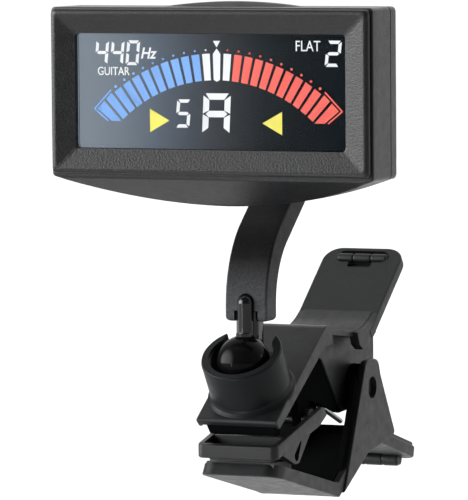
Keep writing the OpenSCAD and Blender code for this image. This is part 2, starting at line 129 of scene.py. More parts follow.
def soft_profile(points, r=0.3, steps=3):
    """A lathe profile with its inner corners rounded; its two ends stay where they are."""
    first, last = Vector(points[0]), Vector(points[-1])
    return [first] + fillet(points, [0] + [r] * (len(points) - 2) + [0], steps)[1:-1] + [last]


# ---- solids

def lifted(p, h, axis):
    """A flat point p raised to height h: flat axes are Y,Z for x, X,Z for y and X,Y for z."""
    return Vector({"x": (h, p[0], p[1]), "y": (p[0], h, p[1]), "z": (p[0], p[1], h)}[axis])


def soften(bm, edges, width, steps):
    """Rounds some edges of a solid."""
    bmesh.ops.bevel(
        bm, geom=edges, offset=width, segments=steps, profile=0.5, affect="EDGES", clamp_overlap=True)


def add_prism(bm, outline, low, high, axis):
    """Adds an outline given thickness to a mesh. Gives its two end faces."""
    a = [bm.verts.new(lifted(p, low, axis)) for p in outline]
    b = [bm.verts.new(lifted(p, high, axis)) for p in outline]
    ends = [bm.faces.new(a), bm.faces.new(b)]
    band(bm, a, b)
    return ends


def prism(outline, low, high, axis="x", edge=0.25, steps=2):
    """A solid of one outline, with both ends' edges rounded."""
    bm = bmesh.new()
    ends = add_prism(bm, outline, low, high, axis)
    bmesh.ops.recalc_face_normals(bm, faces=bm.faces)
    if edge > 0:
        soften(bm, [e for f in ends for e in f.edges], edge, steps)
    return bm


def block(w, y0, y1, z0, z1, x=0.0, edge=0.2):
    return prism(rectangle(x - w / 2, x + w / 2, y0, y1), z0, z1, "z", edge)


def band(bm, a, b):
    """Faces between two loops of vertices."""
    for i in range(len(a)):
        j = (i + 1) % len(a)
        bm.faces.new((a[i], a[j], b[j], b[i]))


def plain_end(bm, row):
    bm.faces.new(row)


def banded_end(bm, row):
    """Closes a loop that starts at the middle and is the same left and right, with bands across it."""
    n = len(row)
    for i in range(1, n // 2 - 1):
        bm.faces.new((row[i], row[i + 1], row[n - i - 1], row[n - i]))
    bm.faces.new((row[0], row[1], row[n - 1]))
    bm.faces.new((row[n // 2], row[n // 2 + 1], row[n // 2 - 1]))


def loft(loops, end=None):
    """A skin over loops of equally many points. Without a way to end it, the last loop meets the first."""
    bm = bmesh.new()
    rows = [[bm.verts.new(p) for p in loop] for loop in loops]
    for a, b in zip(rows, rows[1:] + ([] if end else rows[:1])):
        band(bm, a, b)
    if end:
        end(bm, rows[0])
        end(bm, rows[-1])
    bmesh.ops.recalc_face_normals(bm, faces=bm.faces)
    return bm


def sweep(path, sections):
    """One closed section for each point of a path; a section's first axis keeps to X."""
    loops = []
    for i, (p, section) in enumerate(zip(path, sections)):
        ahead = (path[min(i + 1, len(path) - 1)] - path[max(i - 1, 0)]).normalized()
        side = (Vector(ACROSS) - ahead * ahead.x).normalized()
        other = ahead.cross(side)
        loops.append([p + side * s[0] + other * s[1] for s in section])
    return loft(loops, plain_end)


def lathe(profile, centre=(0, 0, 0), direction=UP, count=64):
    """A profile of (radius, height) turned about a line. It starts and ends on the line, or makes a ring."""
    bm = bmesh.new()
    turns = [(cos(2 * pi * k / count), sin(2 * pi * k / count)) for k in range(count)]
    rings = []
    for r, h in profile:
        on_line = r < 1e-6
        rings.append([bm.verts.new((r * c, r * s, h)) for c, s in (turns[:1] if on_line else turns)])
    closed = len(rings[0]) > 1
    for a, b in list(zip(rings, rings[1:])) + ([(rings[-1], rings[0])] if closed else []):
        for k in range(count):
            m = (k + 1) % count
            if len(a) == 1:
                bm.faces.new((a[0], b[k], b[m]))
            elif len(b) == 1:
                bm.faces.new((a[k], a[m], b[0]))
            else:
                bm.faces.new((a[k], a[m], b[m], b[k]))
    bmesh.ops.recalc_face_normals(bm, faces=bm.faces)
    turn = Vector(UP).rotation_difference(Vector(direction)).to_matrix().to_4x4()
    return moved(bm, Matrix.Translation(Vector(centre)) @ turn)


def lathe_y(profile, x, z, count):
    """A profile of (radius, Y) turned about a line along Y."""
    return lathe(profile, (x, 0, z), DEPTH, count)


def moved(bm, matrix):
    bmesh.ops.transform(bm, matrix=matrix, verts=bm.verts)
    return bm


def mirrored(bm):
    """A copy on the other side of the middle plane."""
    other = bm.copy()
    bmesh.ops.scale(other, vec=(-1, 1, 1), verts=other.verts)
    bmesh.ops.reverse_faces(other, faces=other.faces)
    return other


def pair(outline, x0, x1, edge=0.25):
    """A plate lying along the side of the clip, and its twin on the other side."""
    one = prism(outline, x0, x1, "x", edge)
    return [one, mirrored(one)]


def evaluated_mesh(ob):
    """A mesh copy of an object as its modifiers leave it."""
    bpy.context.view_layer.update()
    result = bmesh.new()
    evaluated = ob.evaluated_get(bpy.context.evaluated_depsgraph_get())
    result.from_mesh(evaluated.to_mesh())
    evaluated.to_mesh_clear()
    return result


def in_scene(name, data):
    ob = bpy.data.objects.new(name, data)
    scene.collection.objects.link(ob)
    return ob


def new_object(name, bm):
    """An object that takes over a mesh."""
    mesh = bpy.data.meshes.new(name)
    bm.to_mesh(mesh)
    bm.free()
    return in_scene(name, mesh)


def combine(base, others, how):
    """Joins or cuts solids, one after another."""
    ob = new_object("work", base)
    tools = [new_object("tool", other) for other in others]
    for tool in tools:
        modifier = ob.modifiers.new("b", "BOOLEAN")
        modifier.operation = how
        modifier.solver = "EXACT"
        modifier.object = tool
    result = evaluated_mesh(ob)
    for o in [ob] + tools:
        mesh = o.data
        bpy.data.objects.remove(o)
        bpy.data.meshes.remove(mesh)
    bmesh.ops.remove_doubles(result, verts=result.verts, dist=1e-4)
    return result


def union(*parts):
    return combine(parts[0], parts[1:], "UNION")


def cut(base, *tools):
    return combine(base, tools, "DIFFERENCE")


def piece(name, bm, body, material, stands_for=(), sharp=38):
    """Makes the finished object in metres, shades it and fixes it to its body."""
    bmesh.ops.scale(bm, vec=(MM, MM, MM), verts=bm.verts)
    ob = new_object(name, bm)
    ob.data.shade_smooth()
    ob.data.set_sharp_from_angle(angle=radians(sharp))
    ob.data.materials.append(material)
    ob.modifiers.new("normals", "WEIGHTED_NORMAL").keep_sharp = True
    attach(ob, body)
    if stands_for:
        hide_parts(*stands_for)


def finish_node(node, material):
    """Gives a carried-over CAD node its material."""
    materials = frame["nodes"][node].data.materials
    materials.clear()
    materials.append(material)


# ---- materials

class Nodes:
    """The node tree of a material or world. An input takes a number, a colour or another node's output."""

    def __init__(self, owner):
        owner.use_nodes = True
        self.tree = owner.node_tree

    def put(self, node, inputs):
        for socket, value in inputs.items():
            if isinstance(value, bpy.types.NodeSocket):
                self.tree.links.new(value, node.inputs[socket])
            else:
                node.inputs[socket].default_value = value

    def add(self, kind, inputs={}, **choices):
        node = self.tree.nodes.new("ShaderNode" + kind)
        for choice, value in choices.items():
            setattr(node, choice, value)
        self.put(node, inputs)
        return node


class Look(Nodes):
    """A material being built, in its object's own coordinates."""

    def __init__(self, name):
        self.material = bpy.data.materials.new(name)
        super().__init__(self.material)
        self.where = self.add("TexCoord").outputs["Object"]

    def noise(self, size_mm, detail=2.0, rough=0.5, stretch=None):
        """A noise whose grains are about size_mm across."""
        where = self.where
        if stretch:
            where = self.add("Mapping", {"Scale": stretch, "Vector": where}).outputs["Vector"]
        grains = {"Scale": 1 / (size_mm * MM), "Detail": detail, "Roughness": rough, "Vector": where}
        return self.add("TexNoise", grains).outputs["Fac"]

    def along(self, axis, low_mm, high_mm):
        """A value that goes from 0 to 1 between two places on an axis."""
        place = self.add("SeparateXYZ", {"Vector": self.where}).outputs[axis]
        return self.add("MapRange", {
            "From Min": low_mm * MM, "From Max": high_mm * MM, "Value": place}).outputs["Result"]

    def ramp(self, value, *stops):
        """Colours, or greys given as single numbers, along a value."""
        r = self.add("ValToRGB", {"Fac": value})
        elements = r.color_ramp.elements
        elements[0].position, elements[-1].position = stops[0][0], stops[-1][0]
        for at, _ in stops[1:-1]:
            elements.new(at)
        for element, (_, tone) in zip(elements, stops):
            element.color = (tone, tone, tone, 1) if isinstance(tone, (int, float)) else (*tone, 1)
        return r.outputs["Color"]

    def vary(self, noise, low, high):
        """Two tones over the middle of a noise's range."""
        return self.ramp(noise, (0.3, low), (0.7, high))

    def multiply(self, a, b):
        mix = self.add("Mix", {"Factor": 1.0, "A": a, "B": b}, data_type="RGBA", blend_type="MULTIPLY")
        return mix.outputs["Result"]

    def done(self, inputs, *bumps):
        """Sets the shader's inputs and stacks bumps of (height, depth in mm, strength) into its normal."""
        inputs = dict(inputs)
        for height, depth, strength in bumps:
            b = self.add("Bump", {"Strength": strength, "Distance": depth * MM, "Height": height})
            if "Normal" in inputs:
                self.put(b, {"Normal": inputs["Normal"]})
            inputs["Normal"] = b.outputs["Normal"]
        self.put(self.tree.nodes["Principled BSDF"], inputs)
        return self.material


def tint(colour, factor):
    return tuple(c * factor for c in colour)


def plastic(name, colour, rough, grain, depth, strength, shine=0.26, speckle=0.25, painted_shade=None):
    """Moulded plastic: fine spark-eroded grain, faint tone changes and uneven gloss.

    painted_shade is (low mm, high mm, darkest) for painted shade: a tone that darkens with height."""
    look = Look(name)
    fine, broad, wear = look.noise(grain, 3.0, 0.65), look.noise(9.0, 3.0, 0.55), look.noise(2.4, 4.0, 0.6)
    flecks = look.ramp(fine, (0.3, tint(colour, 1 - speckle)), (0.72, tint(colour, 1 + speckle)))
    tone = look.multiply(flecks, look.vary(broad, 0.86, 1.0))
    # painted shade: the tone darkens with height
    if painted_shade:
        low, high, darkest = painted_shade
        tone = look.multiply(tone, look.ramp(look.along("Z", low, high), (0.0, 1.0), (1.0, darkest)))
    return look.done({"Base Color": tone, "Roughness": look.vary(wear, *rough), "Specular IOR Level": shine},
                     (fine, depth, strength))


def gloss(name, colour, rough=(0.05, 0.12), shine=0.04):
    """Polished moulded plastic with faint rub marks and dust-fine unevenness."""
    look = Look(name)
    rub, broad = look.noise(0.6, 4.0, 0.7, (1, 1, 0.2)), look.noise(4.0)
    return look.done({
        "Base Color": look.vary(broad, tint(colour, 0.8), tint(colour, 1.3)), "Specular IOR Level": shine,
        "Roughness": look.ramp(rub, (0.35, rough[0]), (0.75, rough[1]))},
        (broad, 0.02, 0.12), (rub, 0.004, 0.2))


def metal(name, colour, rough=(0.22, 0.4), stretch=(0.08, 1, 1)):
    """Drawn or turned metal with fine lines one way."""
    look = Look(name)
    lines, stain = look.noise(0.12, 3.0, 0.7, stretch), look.noise(1.6, 3.0)
    return look.done({"Metallic": 1.0, "Base Color": look.vary(stain, tint(colour, 0.75), colour),
                      "Roughness": look.vary(lines, *rough)}, (lines, 0.01, 0.35))


def rubber(name, colour):
    """Soft dull rubber with a pebbled skin."""
    look = Look(name)
    pebbles = look.add("TexVoronoi", {"Scale": 1 / (0.35 * MM), "Vector": look.where}).outputs["Distance"]
    dust = look.noise(1.2, 4.0, 0.6)
    return look.done({"Base Color": look.ramp(dust, (0.35, colour), (0.8, tint(colour, 1.7))),
                      "Roughness": look.vary(dust, 0.7, 0.9), "Sheen Weight": 0.15}, (pebbles, 0.03, 0.35))


def ink(name, colour, glow):
    """A lit display segment, a little uneven as a backlight leaves it."""
    look = Look(name)
    spread = look.noise(7.0, 1.0)
    return look.done({
        "Base Color": look.vary(spread, tint(colour, 0.2), tint(colour, 0.23)), "Emission Strength": glow,
        "Emission Color": look.vary(spread, tint(colour, 0.88), colour),
        "Roughness": look.vary(look.noise(0.5), 0.4, 0.55)})


def sheet_glass(name):
    """Clear window with a faint smear in its gloss."""
    look = Look(name)
    smear = look.noise(6.0, 3.0, 0.6, (1, 1, 2.5))
    return look.done({"Base Color": (1, 1, 1, 1), "Transmission Weight": 1.0, "IOR": 1.12,
                      "Roughness": look.ramp(smear, (0.35, 0.02), (0.8, 0.06)), "Specular IOR Level": 0.08})


def display_painted_reflection(name, left_x, right_x):
    """The unlit display with a painted reflection: its glow and base colour go from a cool grey at one side to
    black at the other.
    """
    look = Look(name)
    share = look.along("X", left_x, right_x)
    # painted reflection: a cool grey glow at one side that falls to black at the other
    painted_reflection = look.ramp(
        share, (0.0, (0.215, 0.257, 0.303)), (0.15, (0.165, 0.200, 0.235)), (0.28, (0.107, 0.135, 0.172)),
        (0.42, (0.063, 0.073, 0.089)), (0.55, (0.035, 0.038, 0.041)), (0.68, (0.013, 0.016, 0.018)),
        (0.8, (0.006, 0.008, 0.009)), (1.0, (0.004, 0.006, 0.008)))
    pixels = look.add("TexBrick", {"Scale": 1 / (0.25 * MM), "Vector": look.where}).outputs["Fac"]
    return look.done({
        "Emission Color": painted_reflection, "Emission Strength": 0.95, "Specular IOR Level": 0.0,
        "Base Color": look.ramp(share, (0.0, (0.012, 0.014, 0.017)), (1.0, (0.002, 0.003, 0.004))),
        "Roughness": look.ramp(pixels, (0.0, 0.25), (1.0, 0.4))}, (pixels, 0.002, 0.05))


# name, colour, roughness range, grain mm, bump mm, bump strength, shine, speckle and painted shade
HOUSING = plastic("housing_grain", (0.0045, 0.0047, 0.0053), (0.30, 0.40), 0.42, 0.07, 1.0, 0.23, 0.6)
# the arm's tone darkens towards its top as painted shade under the head
ARM = plastic("arm_satin_painted_shade", (0.036, 0.037, 0.039), (0.34, 0.48), 0.5, 0.05, 0.7, 0.06, 0.4, (31.0, 42.0, 0.16))
CLIP = plastic("clip_satin", (0.0062, 0.0066, 0.0072), (0.36, 0.5), 0.4, 0.05, 0.7, 0.18, 0.35)
CUP = plastic("cup_satin", (0.0036, 0.0042, 0.0046), (0.34, 0.46), 0.5, 0.02, 0.4, 0.09)
# a darker copy of the clip plastic with no gloss, as painted shade on the clip's inner parts
INNER_PAINTED_SHADE = plastic("clip_inner_painted_shade", (0.003, 0.0032, 0.0034), (0.5, 0.65), 0.3, 0.01, 0.3, 0.0)
SEAT = plastic("seat_dull", (0.006, 0.006, 0.0065), (0.5, 0.65), 0.3, 0.01, 0.3)
BUTTON = plastic("button_soft", (0.042, 0.043, 0.046), (0.55, 0.7), 0.2, 0.04, 0.7)
DIFFUSER = plastic("diffuser_white", (0.75, 0.78, 0.8), (0.5, 0.6), 0.26, 0.01, 0.2, 0.26, 0.03)
BOARD = plastic("solder_mask", (0.012, 0.10, 0.04), (0.25, 0.4), 0.8, 0.01, 0.3)
CHIP = plastic("chip_epoxy", (0.012, 0.012, 0.013), (0.5, 0.65), 0.15, 0.01, 0.5)
BLACK = gloss("polished_black", (0.0025, 0.0025, 0.0027))
STEM = gloss("polished_stem", (0.004, 0.004, 0.0042), (0.07, 0.13), shine=0.25)
PAD = rubber("pad_rubber", (0.007, 0.007, 0.0073))
STRIP = rubber("elastomer", (0.45, 0.2, 0.27))
GLASS = sheet_glass("window_clear")
SWITCH = metal("pressed_steel", (0.55, 0.56, 0.57))
BRASS = metal("bright_brass", (0.72, 0.52, 0.24))
CELL = metal("nickel_plate", (0.62, 0.62, 0.63), stretch=(1, 0.1, 1))
PIN = metal("dark_pin_steel", (0.11, 0.112, 0.116), (0.25, 0.4), (0.1, 1, 1))
SPRING = metal("spring_wire", (0.24, 0.245, 0.25), (0.15, 0.3))
SCREW = metal("zinc_screw", (0.33, 0.34, 0.35), (0.3, 0.5), (1, 0.3, 1))
INK = {
    "white": ink("ink_white", (0.84, 0.87, 0.90), 0.72),
    "blue": ink("ink_blue", (0.13, 0.33, 0.75), 0.85),
    "red": ink("ink_red", (0.80, 0.075, 0.048), 0.82),
    "yellow": ink("ink_yellow", (0.80, 0.72, 0.08), 0.82),
}

# ---- head: housings

front_low, front_high = box_mm("front_housing")
RIM_Y, SEAM_Y = front_low.y, front_high.y
BACK_Y = box_mm("battery_cover")[1].y - 0.3
TOP, BODY = front_high.z, front_high.x
RIM_HALF_H = 16.8
BODY_TOP = RIM_HALF_H + 0.35
HEAD_Z = TOP - RIM_HALF_H
CHIN_R = 102.0
CHIN_BOTTOM = front_low.z - HEAD_Z
CHIN_CENTRE = CHIN_BOTTOM + CHIN_R
WALL_Y = -17.25
CORNER_R = 0.9


def arc_bottom(x):
    """Height of the chin's curved lower edge, from the head's middle."""
    return CHIN_CENTRE - sqrt(CHIN_R * CHIN_R - x * x)


def chin_plane(y):
    """Height of the chin's sloping face at a depth."""
    return -RIM_HALF_H + (CHIN_BOTTOM + RIM_HALF_H) * (y - RIM_Y) / (SEAM_Y - RIM_Y)


def crease_y(x):
    """Depth at which the chin's face meets its curved lower edge."""
    share = (arc_bottom(x) + RIM_HALF_H) / (CHIN_BOTTOM + RIM_HALF_H)
    return RIM_Y + (SEAM_Y - RIM_Y) * share


def head_ring(half, top, bottom_at, r, y_at):
    """A loop round the head: along the bottom, up the right side, along the top and down the left side.

    bottom_at gives the bottom's height at an x. y_at gives the depth at an x, low or not."""
    span = half - r
    foot = bottom_at(span)

    def corner(x, z, start):
        return arc(r, range(start + 18, start + 91, 18), (x, z))

    low_right = [(x, bottom_at(x)) for x in [span * (k / 20 - 1) for k in range(41)]]
    low_right += corner(span, foot + r, -90)
    high = [(half, top - r)] + corner(span, top - r, 0) + [(span * (1 - k / 8), top) for k in range(1, 17)]
    high += corner(-span, top - r, 90) + [(-half, foot + r)]
    low_left = corner(-span, foot + r, 180)[:-1]
    return [Vector((x, y_at(x, low), HEAD_Z + z))
            for low, pts in ((True, low_right), (False, high), (True, low_left)) for x, z in pts]


def rect_ring(half, top, bottom, r, y):
    return head_ring(half, top, lambda x: bottom, r, lambda x, low: y)


def chin_ring(half, top, inset, r, y):
    """A loop at one depth whose bottom is the chin's face or its curved edge, whichever is higher."""
    plane = chin_plane(y)
    return head_ring(half, top, lambda x: max(plane, arc_bottom(x)) + inset, r, lambda x, low: y)


def body_ring(inset, r, y):
    """The body's full outline at one depth, drawn in by an inset."""
    return head_ring(BODY - inset, BODY_TOP - inset, lambda x: arc_bottom(x) + inset, r, lambda x, low: y)


WINDOW_X, WINDOW_TOP, WINDOW_BOTTOM, RIM_X = 29.7, 11.8, -11.6, 35.0
# growth and depth of each loop at the window's edge
window_loops = [rect_ring(WINDOW_X + d, WINDOW_TOP + d, WINDOW_BOTTOM - d, 0.8, y) for d, y in (
    (0.0, WALL_Y), (0.0, -18.95), (0.08, -19.08), (0.28, -19.14))]
# inset, corner radius and depth of each loop of the rim, from its bevel outwards
rim_loops = [rect_ring(RIM_X - d, RIM_HALF_H - d, d - RIM_HALF_H, r, y) for d, r, y in (
    (1.5, 0.8, -19.88), (1.2, 0.8, -19.97), (0.9, 0.85, -20.0), (0.45, 0.9, -19.93), (0.13, 0.95, -19.68),
    (0.0, 1.0, -19.3), (0.0, 1.0, -18.95), (0.14, 0.95, -18.87), (0.4, 0.9, -18.85), (0.4, 0.9, -18.5))]
HOLLOW_X, HOLLOW_TOP, HOLLOW_BOTTOM = 33.4, 15.2, -15.0
CHIN_Y = -18.2
front = loft(window_loops + rim_loops + [
    chin_ring(35.2, BODY_TOP - 0.3, 0.35, 0.85, CHIN_Y - 0.28),
    chin_ring(35.4, BODY_TOP - 0.1, 0.12, CORNER_R, CHIN_Y - 0.2),
    chin_ring(BODY, BODY_TOP, 0.0, CORNER_R, CHIN_Y),
    head_ring(BODY, BODY_TOP, arc_bottom, CORNER_R,
              lambda x, low: max(crease_y(x), CHIN_Y + 0.1) if low else -14.0),
    body_ring(0.0, CORNER_R, SEAM_Y - 0.22),
    body_ring(0.16, CORNER_R, SEAM_Y - 0.04),
    rect_ring(HOLLOW_X, HOLLOW_TOP, HOLLOW_BOTTOM, 0.6, SEAM_Y - 0.04),
    rect_ring(HOLLOW_X, HOLLOW_TOP, HOLLOW_BOTTOM, 0.6, WALL_Y),
])


def on_crease(v):
    return v.co.z < HEAD_Z - 17 and abs(v.co.y - crease_y(v.co.x)) < 0.02 and abs(v.co.x) < 33


soften(front, [e for e in front.edges if all(on_crease(v) for v in e.verts)], 0.45, 3)
power_low, power_high = box_mm("power_button")
button_x = centre_mm("power_button").x
half_w = (power_high.x - power_low.x) / 2 - 0.9
slot_y0, slot_y1 = power_low.y + 0.2, power_high.y - 0.2
front = cut(front, block(2 * half_w + 0.3, slot_y0, slot_y1, TOP - 3, TOP + 2, x=button_x, edge=0))
piece("front_shell", front, "head", HOUSING, ["front_housing"])

PANE_GAP = 0.02
window = prism(rectangle(PANE_GAP - WINDOW_X, WINDOW_X - PANE_GAP, WINDOW_BOTTOM + PANE_GAP,
                         WINDOW_TOP - PANE_GAP, 0.75), -18.15, -17.5, "y", 0.12)
moved(window, Matrix.Translation((0, 0, HEAD_Z)))
piece("window_pane", window, "head", GLASS, ["display_window"])
# the unlit display glows with a painted reflection, grey at the left and black at the right
finish_node("lcd_panel", display_painted_reflection("display_dark_painted_reflection", -WINDOW_X, WINDOW_X))

# rear shell: rounded back, socket, battery bay and button holes
rear = loft([body_ring(*row) for row in (
    (0.16, 0.9, SEAM_Y + 0.02), (0.0, 0.9, SEAM_Y + 0.2), (0.0, 0.9, BACK_Y - 1.3), (0.12, 1.0, BACK_Y - 0.8),
    (0.42, 1.2, BACK_Y - 0.34), (0.9, 1.4, BACK_Y - 0.06), (1.4, 1.6, BACK_Y))], plain_end)
SOCKET = joint_point("head_tilt")
CAVITY_R = 5.05
socket_end = box_mm("rear_housing")[1].y
boss = lathe_y(soft_profile([
    (0, -8.4), (7.6, -8.4), (7.6, socket_end), (4.55, socket_end), (2.1, -2.6), (0, -2.6)], 0.7, 4),
    0, SOCKET.z, 72)
cavity = lathe_y([(0, -10), (5.1, -10), (5.1, SOCKET.y)] + arc(CAVITY_R, range(6, 90, 6), (0, SOCKET.y)) +
                 [(0, SOCKET.y + CAVITY_R)], 0, SOCKET.z, 64)
flare = lathe_y([(0, SOCKET.y), (1.96, SOCKET.y), (4.85, SOCKET.y + 5), (0, SOCKET.y + 5)], 0, SOCKET.z, 64)
DOOR_Y = BACK_Y - 1.6
cover_x, door_z = box_mm("battery_cover")[0].x, centre_mm("battery_cover").z
bay = prism(rectangle(-40, -9.68, door_z - 11.32, door_z + 11.32, [0, 1.2, 1.2, 0]),
            DOOR_Y - 0.05, BACK_Y + 1, "y", 0)
REAR_KEYS = ("mode_button", "pitch_button", "flat_button")
holes = []
for centre in map(centre_mm, REAR_KEYS):
    holes.append(lathe_y(soft_profile([
        (0, DOOR_Y - 2.5), (2.8, DOOR_Y - 2.5), (2.8, BACK_Y - 0.35), (3.15, BACK_Y + 0.1),
        (3.15, BACK_Y + 1), (0, BACK_Y + 1)], 0.1, 2), centre.x, centre.z, 48))
SCREW_X, SCREW_Z, SCREW_R = 32, 13.3, 1.5
for x in (-SCREW_X, SCREW_X):
    for z in (-SCREW_Z, SCREW_Z):
        holes.append(lathe_y([
            (0, DOOR_Y + 0.3), (SCREW_R, DOOR_Y + 0.3), (SCREW_R, BACK_Y - 0.25), (SCREW_R + 0.25, BACK_Y),
            (SCREW_R + 0.25, BACK_Y + 1), (0, BACK_Y + 1)], x, HEAD_Z + z, 40))
hollow = prism(rectangle(-HOLLOW_X, HOLLOW_X, HEAD_Z + HOLLOW_BOTTOM, HEAD_Z + HOLLOW_TOP),
               SEAM_Y - 1, DOOR_Y, "y", 0)
battery_tray = prism(rectangle(-11.9, 11.9, -11.3, 11.3, 0.5), -10.6, DOOR_Y + 0.02, "y", 0)
moved(battery_tray, Matrix.Translation((-21.3, 0, HEAD_Z)))
cell_x = centre_mm("coin_cell").x
well = lathe_y(drum(10.15, -9.9, DOOR_Y + 1), cell_x, HEAD_Z, 72)
contact_hole = lathe_y(drum(6, -11, -9), cell_x, HEAD_Z, 48)
rear = union(cut(rear, hollow), battery_tray, boss)
rear = cut(rear, bay, well, contact_hole, cavity, flare, *holes)
piece("rear_shell", rear, "head", HOUSING, ["rear_housing"])

cover = prism(rectangle(cover_x, -9.82, door_z - 11.18, door_z + 11.18, [0.9, 1.1, 1.1, 0.9]),
              DOOR_Y + 0.06, BACK_Y, "y", 0.18)
ridges = []
for i in range(5):
    ridge = prism(rectangle(-0.375, 0.375, -5, 5, 0.36), BACK_Y - 0.3, BACK_Y + 0.28, "y", 0.12)
    ridges.append(moved(ridge, Matrix.Translation((cover_x + 2.85 + 1.5 * i, 0, door_z))))
piece("battery_door", union(cover, *ridges), "battery_cover", HOUSING, ["battery_cover"])

# buttons
crown = power_high.z - HEAD_Z - BODY_TOP
crown_r = (half_w ** 2 + crown ** 2) / (2 * crown)
arch = [(button_x - half_w, TOP - 2.4), (button_x + half_w, TOP - 2.4)]
for k in range(25):
    x = half_w * (1 - k / 12)
    arch.append((button_x + x, power_high.z - crown_r + sqrt(crown_r ** 2 - x * x)))
power = prism(arch, slot_y0 + 0.06, slot_y1 - 0.06, "y", 0.3, 3)
flange = block(2 * half_w + 1.7, power_low.y, power_high.y, TOP - 2.6, TOP - 1.72, x=button_x, edge=0.1)
piece("power_key", union(power, flange), "power_button", BUTTON, ["power_button"])
for node in REAR_KEYS:
    centre, y0, y1 = centre_mm(node), box_mm(node)[0].y, box_mm(node)[1].y
    key = lathe_y(soft_profile([
        (0, y0), (3.3, y0), (3.3, y0 + 0.6), (2.7, y0 + 0.62), (2.7, y1 - 0.12), (2.0, y1), (1.2, y1 - 0.16),
        (0, y1 - 0.2)], 0.15, 3), centre.x, centre.z, 56)
    piece(node.replace("button", "key"), key, node, BUTTON, [node])

# ---- head: what the display shows

INK_Y0, INK_Y1 = -17.26, -17.2
METER = Vector((1.0, -28.6))
STEP, BAR_IN, BAR_OUT, DOT_R = 3.74, 31.0, 36.4, 37.15
FLAT_INK = 20


def polar(r, degrees):
    """A place on the display from the meter's centre; 0 degrees is straight up."""
    a = radians(degrees)
    return Vector((METER.x + r * sin(a), METER.y + r * cos(a)))


def clip_poly(poly, point, normal):
    """The part of a convex outline on the side of a line that its normal points to."""
    out = []
    for i, q in enumerate(poly):
        p = poly[i - 1]
        dp, dq = (p - point).dot(normal), (q - point).dot(normal)
        if (dp < 0) != (dq < 0):
            out.append(p + (q - p) * (dp / (dp - dq)))
        if dq >= 0:
            out.append(q)
    return out


def sector(a0, a1, r0, r1):
    return [polar(r0, a0), polar(r0, a1), polar(r1, a1), polar(r1, (a0 + a1) / 2), polar(r1, a0)]


def stroke(a, b, t):
    """The outline of a straight line, a little longer than its two ends."""
    n, d = (b - a).orthogonal().normalized() * t / 2, (b - a).normalized() * t * 0.2
    return [a - n - d, b - n + d, b + n + d, a + n - d]


def digit(lit, x, z, w, h, t, slant=0.0, gap=0.09):
    """A seven-segment figure whose lower left corner is at x, z."""
    m, g, c = h / 2, gap, 0.3 * t
    shapes = {
        "a": [(c + g, h), (w - c - g, h), (w - t - g, h - t), (t + g, h - t)],
        "d": [(t + g, t), (w - t - g, t), (w - c - g, 0), (c + g, 0)],
        "g": [(g + 0.4 * t, m), (t + g * 0.5, m + t / 2), (w - t - g * 0.5, m + t / 2), (w - g - 0.4 * t, m),
              (w - t - g * 0.5, m - t / 2), (t + g * 0.5, m - t / 2)],
        "f": [(0, h - c - g), (t, h - t - g), (t, m + t / 2 + g), (0, m + g)],
        "e": [(0, c + g), (0, m - g), (t, m - t / 2 - g), (t, t + g)],
        "b": [(w, h - c - g), (w, m + g), (w - t, m + t / 2 + g), (w - t, h - t - g)],
        "c": [(w, c + g), (w - t, t + g), (w - t, m - t / 2 - g), (w, m - g)],
    }
    return [[Vector((x + px + slant * pz, z + pz)) for px, pz in shapes[s]] for s in lit]


def printed(name, outlines, colour):
    """Flat segments of one colour, as thin raised shapes behind the window."""
    bm = bmesh.new()
    for outline in outlines:
        add_prism(bm, [(p[0], p[1] + HEAD_Z) for p in outline], INK_Y0, INK_Y1, "y")
    bmesh.ops.recalc_face_normals(bm, faces=bm.faces)
    piece(name, bm, "head", INK[colour], sharp=FLAT_INK)


def word(name, text, size, x, z, slant=0.0, squeeze=1.0, bold=0.0):
    """A word in the display's plain lettering, its lower left corner at x, z."""
    curve = bpy.data.curves.new(name, "FONT")
    curve.body, curve.size, curve.shear, curve.offset = text, size, slant, bold
    curve.extrude = (INK_Y1 - INK_Y0) / 2
    curve.resolution_u = 4
    ob = in_scene(name, curve)
    bm = evaluated_mesh(ob)
    bpy.data.objects.remove(ob)
    bpy.data.curves.remove(curve)
    stand = Matrix.Rotation(radians(90), 4, "X") @ Matrix.Diagonal((squeeze, 1, 1, 1))
    moved(bm, Matrix.Translation((x, (INK_Y0 + INK_Y1) / 2, HEAD_Z + z)) @ stand)
    piece(name, bm, "head", INK["white"], sharp=FLAT_INK)


def end_frame(side):
    """The last two bars and the pointed line round them, on one side of the meter."""
    top, point, foot = Vector((23.65, 0.15)), Vector((27.35, -3.65)), Vector((24.3, -6.1))
    shapes = []
    for a0, a1 in ((39.75, 42.45), (43.45, 47.0)):
        bar = [Vector((p.x - METER.x, p.y)) for p in sector(a0, a1, BAR_IN, 36.9)]
        for a, b in ((top, point), (point, foot)):
            inward = Vector(((b - a).y, -(b - a).x)).normalized()
            bar = clip_poly(bar, a + inward * 0.5, inward)
        shapes.append(clip_poly(bar, Vector((0, foot.y)), Vector((0, 1))))
    shapes += [stroke(top, point, 0.3), stroke(point, foot, 0.3)]
    return [[Vector((METER.x + side * p.x, p.y)) for p in s] for s in shapes]


blue, red, white = [], [], []
for i in range(2, 11):
    for side, group in ((-1, blue), (1, red)):
        middle = side * i * STEP
        group.append(sector(middle - 1.36, middle + 1.36, BAR_IN, BAR_OUT))
        group.append(circle(0.17 + 0.012 * i, polar(DOT_R, middle), 16))
for i in (-1, 1):
    white.append(sector(i * STEP - 1.3, i * STEP + 1.3, BAR_IN, BAR_OUT))
white.append(circle(0.18, polar(DOT_R, -STEP), 16))
red.append(circle(0.18, polar(DOT_R, STEP), 16))
white.append([polar(r, a) for r, a in (
    (30.7, 0), (31.1, -1.25), (36.3, -1.3), (37.4, 0), (36.3, 1.3), (31.1, 1.25))])
white.append([Vector((METER.x - 0.78, 10.35)), Vector((METER.x, 9.05)), Vector((METER.x + 0.78, 10.35))])
blue += end_frame(-1)
red += end_frame(1)
